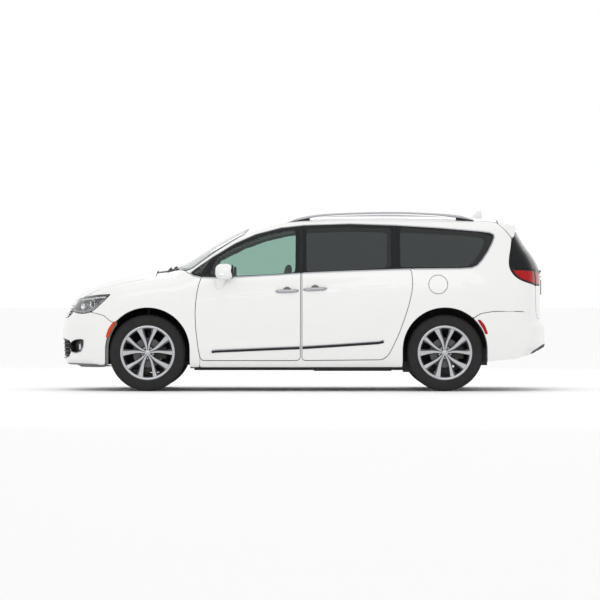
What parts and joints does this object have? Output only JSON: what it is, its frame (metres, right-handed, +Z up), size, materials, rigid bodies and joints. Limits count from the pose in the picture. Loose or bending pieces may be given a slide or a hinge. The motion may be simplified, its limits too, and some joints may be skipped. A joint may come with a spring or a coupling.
{
  "type": "minivan",
  "caption": "White family minivan with hinged front doors, bonnet, liftgate and fuel flap, sliding side doors, steered front wheels and three rows of seats.",
  "frame": {"origin": "on the ground, under the middle of the overall box", "axes": "+X along the length towards the tail, +Y across to the vehicle's right side, +Z up"},
  "size_m": [5.019, 2.2874, 1.861],
  "materials": {
    "body_paint": "gloss",
    "roof_paint": "gloss",
    "black_trim": "satin",
    "chrome_trim": "polished",
    "lamp_clear": "gloss",
    "lamp_red": "gloss",
    "tinted_glass": "gloss",
    "green_glass": "gloss",
    "rail_metal": "satin",
    "cabin_trim": "matte",
    "seat_cover": "satin",
    "underbody_coat": "matte",
    "cast_metal": "matte",
    "exhaust_metal": "satin",
    "tank_plastic": "matte",
    "liner_plastic": "matte",
    "wheel_alloy": "satin",
    "tyre_rubber": "matte",
    "wheel_grip": "satin"
  },
  "bodies": {
    "root": {"underbody": "underbody_coat", "body_side_left": "body_paint", "body_side_right": "body_paint", "roof_panel": "roof_paint", "front_fenders": "body_paint", "front_bumper": "body_paint", "grille": "black_trim", "headlamps": "lamp_clear", "fog_lamps": "lamp_clear", "windshield": "green_glass", "cowl_panel": "black_trim", "windscreen_wipers": "black_trim", "sliding_door_left": "body_paint", "sliding_door_right": "body_paint", "sliding_door_glass": "tinted_glass", "side_glass": "tinted_glass", "tail_lamps": "lamp_red", "rear_bumper": "body_paint", "roof_rails": "rail_metal", "roof_antenna": "body_paint", "dashboard": "cabin_trim", "front_seats": "seat_cover", "middle_seats": "seat_cover", "rear_bench": "seat_cover", "engine": "cast_metal", "front_suspension": "cast_metal", "rear_suspension": "cast_metal", "fuel_tank": "tank_plastic", "exhaust": "exhaust_metal", "wheel_liners": "liner_plastic"},
    "front_left_door": {"front_door_left": "body_paint", "door_glass_left": "green_glass", "door_mirror_left": "body_paint"},
    "front_right_door": {"front_door_right": "body_paint", "door_glass_right": "green_glass", "door_mirror_right": "body_paint"},
    "hood_lid": {"hood": "body_paint"},
    "liftgate_body": {"liftgate": "body_paint", "liftgate_glass": "tinted_glass", "liftgate_lamps": "lamp_red", "plate_holder": "black_trim"},
    "fuel_flap": {"fuel_door": "body_paint"},
    "steering_wheel_body": {"steering_wheel": "wheel_grip"},
    "left_knuckle": {"knuckle_left": "cast_metal"},
    "right_knuckle": {"knuckle_right": "cast_metal"},
    "front_left_wheel": {"wheel_front_left": "wheel_alloy", "tyre_front_left": "tyre_rubber"},
    "front_right_wheel": {"wheel_front_right": "wheel_alloy", "tyre_front_right": "tyre_rubber"},
    "rear_left_wheel": {"wheel_rear_left": "wheel_alloy", "tyre_rear_left": "tyre_rubber"},
    "rear_right_wheel": {"wheel_rear_right": "wheel_alloy", "tyre_rear_right": "tyre_rubber"}
  },
  "joints": [
    {"name": "steer", "type": "hinge", "parent": "root", "child": "left_knuckle", "pos_m": [-1.597, -0.83, 0.392], "axis": [0, 0, 1], "range_deg": [-35, 35]},
    {"name": "steer_right", "type": "hinge", "parent": "root", "child": "right_knuckle", "pos_m": [-1.597, 0.83, 0.392], "axis": [0, 0, 1], "range_deg": [-35, 35]},
    {"name": "steering_wheel_turn", "type": "hinge", "parent": "root", "child": "steering_wheel_body", "pos_m": [-0.82, -0.4, 1.024], "axis": [0.9063, 0, 0.4226], "range_deg": [-560, 560]},
    {"name": "front_left_roll", "type": "hinge", "parent": "left_knuckle", "child": "front_left_wheel", "pos_m": [-1.597, -0.83, 0.392], "axis": [0, 1, 0], "continuous": true},
    {"name": "front_right_roll", "type": "hinge", "parent": "right_knuckle", "child": "front_right_wheel", "pos_m": [-1.597, 0.83, 0.392], "axis": [0, 1, 0], "continuous": true},
    {"name": "rear_left_roll", "type": "hinge", "parent": "root", "child": "rear_left_wheel", "pos_m": [1.438, -0.83, 0.392], "axis": [0, 1, 0], "continuous": true},
    {"name": "rear_right_roll", "type": "hinge", "parent": "root", "child": "rear_right_wheel", "pos_m": [1.438, 0.83, 0.392], "axis": [0, 1, 0], "continuous": true},
    {"name": "front_left_door_swing", "type": "hinge", "parent": "root", "child": "front_left_door", "pos_m": [-1.11, -1.006, 0.7], "axis": [0, 0, -1], "range_deg": [0, 65]},
    {"name": "front_right_door_swing", "type": "hinge", "parent": "root", "child": "front_right_door", "pos_m": [-1.11, 1.006, 0.7], "axis": [0, 0, 1], "range_deg": [0, 65]},
    {"name": "hood_lift", "type": "hinge", "parent": "root", "child": "hood_lid", "pos_m": [-1.522, 0, 1.246], "axis": [0, 1, 0], "range_deg": [0, 48]},
    {"name": "liftgate_lift", "type": "hinge", "parent": "root", "child": "liftgate_body", "pos_m": [1.974, 0, 1.782], "axis": [0, -1, 0], "range_deg": [0, 75]},
    {"name": "fuel_flap_swing", "type": "hinge", "parent": "root", "child": "fuel_flap", "pos_m": [1.258, -1.002, 1.09], "axis": [0, 0, -1], "range_deg": [0, 90]}
  ],
  "couplings": [
    {"joint": "steer_right", "follows": "steer", "ratio": 1},
    {"joint": "steering_wheel_turn", "follows": "steer", "ratio": 16}
  ]
}
